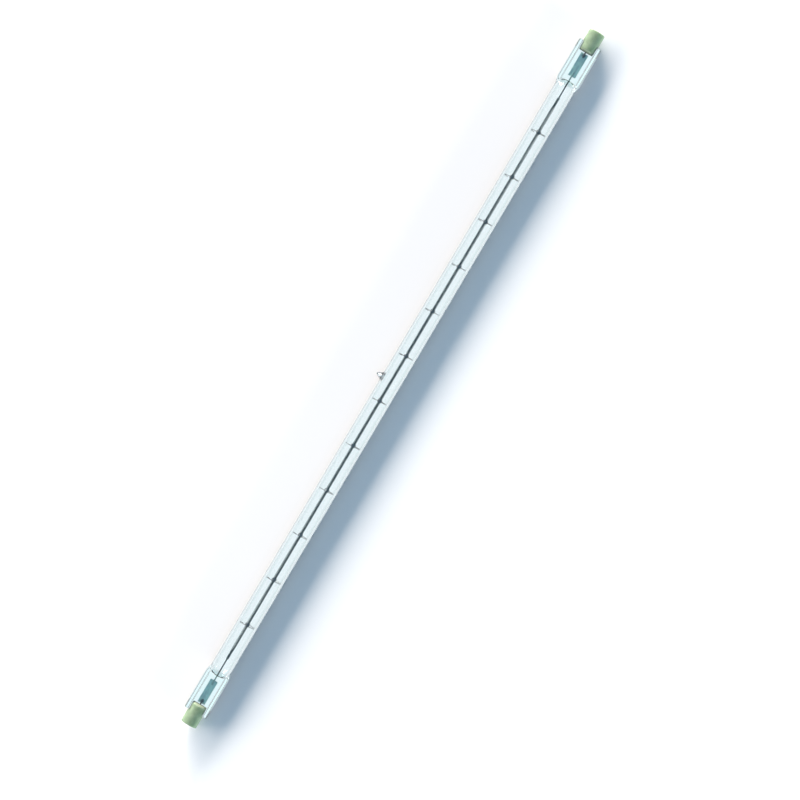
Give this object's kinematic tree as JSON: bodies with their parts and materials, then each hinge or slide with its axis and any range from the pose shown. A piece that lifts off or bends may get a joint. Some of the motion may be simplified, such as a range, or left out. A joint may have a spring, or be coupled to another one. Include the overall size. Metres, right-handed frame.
{
  "type": "linear halogen bulb",
  "caption": "Long double-ended quartz lamp with an axial coiled filament on wire supports, flat pinch seals and ceramic caps with recessed contacts.",
  "frame": {"origin": "middle of the lamp, on the axis of the tube", "axes": "+X along the tube, +Y in the plane of the pinch seals towards the exhaust tip, +Z square to that plane, up as the lamp lies"},
  "size_m": [0.3308, 0.0121, 0.009],
  "materials": {
    "quartz": "clear, fire-polished",
    "filament_wire": "drawn tungsten",
    "support_wire": "drawn tungsten",
    "lead_wire": "drawn molybdenum",
    "sealing_foil": "satin molybdenum foil",
    "cap_ceramic": "fired, unglazed",
    "contact_metal": "pressed nickel alloy",
    "cement": "dried cement"
  },
  "bodies": {
    "root": {"quartz_envelope": "quartz", "filament": "filament_wire", "filament_support_01": "support_wire", "filament_support_02": "support_wire", "filament_support_03": "support_wire", "filament_support_04": "support_wire", "filament_support_05": "support_wire", "filament_support_06": "support_wire", "filament_support_07": "support_wire", "filament_support_08": "support_wire", "filament_support_09": "support_wire", "filament_support_10": "support_wire", "filament_support_11": "support_wire", "filament_support_12": "support_wire", "inner_lead_left": "lead_wire", "inner_lead_right": "lead_wire", "outer_lead_left": "lead_wire", "outer_lead_right": "lead_wire", "foil_left": "sealing_foil", "foil_right": "sealing_foil", "ceramic_cap_left": "cap_ceramic", "ceramic_cap_right": "cap_ceramic", "contact_left": "contact_metal", "contact_right": "contact_metal", "cap_cement_left": "cement", "cap_cement_right": "cement"}
  },
  "joints": []
}
